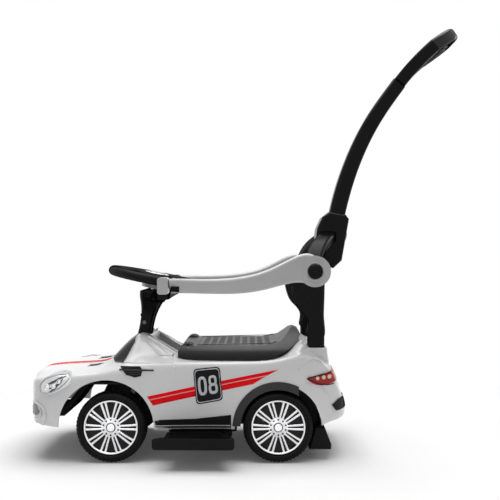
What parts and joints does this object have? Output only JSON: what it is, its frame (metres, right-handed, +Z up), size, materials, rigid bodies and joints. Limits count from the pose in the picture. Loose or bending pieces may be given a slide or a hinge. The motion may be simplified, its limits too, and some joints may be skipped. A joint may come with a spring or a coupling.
{
  "type": "push car with handle",
  "caption": "Toddler push car: white car-shaped body on wheels, steering wheel, lidded seat, swing-up guard rails, footrests and a long curved parent handle.",
  "frame": {"origin": "on the floor under the middle of the whole object's length and width", "axes": "-X is the front of the car, +X the handle end; -Y is the car's left side; +Z is up"},
  "size_m": [0.9108, 0.41, 0.9087],
  "materials": {
    "white_body": "smooth gloss moulding",
    "black_gloss": "smooth black moulding",
    "black_plastic": "fine-grained black moulding",
    "dark_trim": "dark grey insert",
    "rail_grey": "light grey satin moulding",
    "grey_plastic": "mid grey moulding",
    "tray_grey": "grey satin dish",
    "grip_dark": "smooth dark grip",
    "tyre": "black hard plastic tread",
    "wheel_dark": "dark wheel back",
    "chrome": "bright plated plastic",
    "lamp_silver": "silvered lamp insert",
    "red_lens": "glossy red lamp",
    "dark_glass": "dark tinted screen",
    "white_cap": "white gloss cap",
    "steel": "drawn steel"
  },
  "bodies": {
    "car": {"anti_tip_stop": "black_plastic", "arch_trims": "black_plastic", "axle_bushes": "grey_plastic", "body_screws": "steel", "body_shell": "white_body", "chassis_pan": "black_plastic", "dash_tray": "tray_grey", "fender_vents": "dark_trim", "front_intake": "dark_trim", "front_post": "black_gloss", "grille": "dark_trim", "handle_housing": "black_gloss", "headlights": "lamp_silver", "post_bolt": "steel", "rail_clips": "rail_grey", "rail_knobs": "black_gloss", "rail_pivot_pins": "steel", "rear_axle": "steel", "rear_support_left": "black_gloss", "rear_support_right": "black_gloss", "rear_vents": "dark_trim", "seat_hinge_pin": "steel", "sill_trims": "black_plastic", "steering_collar": "rail_grey", "storage_box": "black_plastic", "tail_lights": "red_lens", "windscreen": "dark_glass"},
    "steering": {"steering_wheel": "black_plastic", "steering_trim": "chrome", "steering_rod": "steel", "front_axle_carrier": "black_plastic", "front_axle": "steel"},
    "rail_left": {"rail_left": "rail_grey"},
    "rail_right": {"rail_right": "rail_grey"},
    "rail_button_left": {"rail_button_left": "black_plastic"},
    "rail_button_right": {"rail_button_right": "black_plastic"},
    "seat": {"seat_lid": "black_plastic"},
    "handle": {"handle_tube": "black_gloss", "handle_grip": "grip_dark"},
    "handle_button": {"handle_button": "grey_plastic"},
    "horn_button": {"horn_button": "white_cap"},
    "footrest_left": {"footrest_left": "black_plastic"},
    "footrest_right": {"footrest_right": "black_plastic"},
    "wheel_front_left": {"tyre_front_left": "tyre", "wheel_disc_front_left": "wheel_dark", "hubcap_front_left": "chrome", "centre_cap_front_left": "white_cap"},
    "wheel_front_right": {"tyre_front_right": "tyre", "wheel_disc_front_right": "wheel_dark", "hubcap_front_right": "chrome", "centre_cap_front_right": "white_cap"},
    "wheel_rear_left": {"tyre_rear_left": "tyre", "wheel_disc_rear_left": "wheel_dark", "hubcap_rear_left": "chrome", "centre_cap_rear_left": "white_cap"},
    "wheel_rear_right": {"tyre_rear_right": "tyre", "wheel_disc_rear_right": "wheel_dark", "hubcap_rear_right": "chrome", "centre_cap_rear_right": "white_cap"}
  },
  "joints": [
    {"name": "steering_turn", "type": "hinge", "parent": "car", "child": "steering", "pos_m": [-0.259, 0, 0.071], "axis": [0.1908, 0, 0.9816], "range_deg": [-15, 15]},
    {"name": "wheel_front_left_roll", "type": "hinge", "parent": "steering", "child": "wheel_front_left", "pos_m": [-0.274, -0.125, 0.071], "axis": [0, 1, 0], "continuous": true},
    {"name": "wheel_front_right_roll", "type": "hinge", "parent": "steering", "child": "wheel_front_right", "pos_m": [-0.274, 0.125, 0.071], "axis": [0, 1, 0], "continuous": true},
    {"name": "wheel_rear_left_roll", "type": "hinge", "parent": "car", "child": "wheel_rear_left", "pos_m": [0.063, -0.125, 0.071], "axis": [0, 1, 0], "continuous": true},
    {"name": "wheel_rear_right_roll", "type": "hinge", "parent": "car", "child": "wheel_rear_right", "pos_m": [0.063, 0.125, 0.071], "axis": [0, 1, 0], "continuous": true},
    {"name": "rail_left_swing", "type": "hinge", "parent": "car", "child": "rail_left", "pos_m": [0.1345, -0.16, 0.3855], "axis": [0, 1, 0], "range_deg": [0, 100]},
    {"name": "rail_button_left_press", "type": "slide", "parent": "rail_left", "child": "rail_button_left", "axis": [0, 1, 0], "range_m": [0, 0.002], "stiffness_N_per_m": 400},
    {"name": "footrest_left_slide", "type": "slide", "parent": "car", "child": "footrest_left", "axis": [0, 1, 0], "range_m": [0, 0.045]},
    {"name": "rail_right_swing", "type": "hinge", "parent": "car", "child": "rail_right", "pos_m": [0.1345, 0.16, 0.3855], "axis": [0, 1, 0], "range_deg": [0, 100]},
    {"name": "rail_button_right_press", "type": "slide", "parent": "rail_right", "child": "rail_button_right", "axis": [0, -1, 0], "range_m": [0, 0.002], "stiffness_N_per_m": 400},
    {"name": "footrest_right_slide", "type": "slide", "parent": "car", "child": "footrest_right", "axis": [0, -1, 0], "range_m": [0, 0.045]},
    {"name": "seat_lift", "type": "hinge", "parent": "car", "child": "seat", "pos_m": [-0.12404, 0, 0.2255], "axis": [0, -1, 0], "range_deg": [0, 60]},
    {"name": "handle_lift", "type": "slide", "parent": "car", "child": "handle", "axis": [0.1736, 0, 0.9848], "range_m": [0, 0.08]},
    {"name": "handle_button_press", "type": "slide", "parent": "car", "child": "handle_button", "axis": [-0.9848, 0, 0.1736], "range_m": [0, 0.002], "stiffness_N_per_m": 400},
    {"name": "horn_press", "type": "slide", "parent": "steering", "child": "horn_button", "axis": [-0.1908, 0, -0.9816], "range_m": [0, 0.0025], "stiffness_N_per_m": 400}
  ]
}
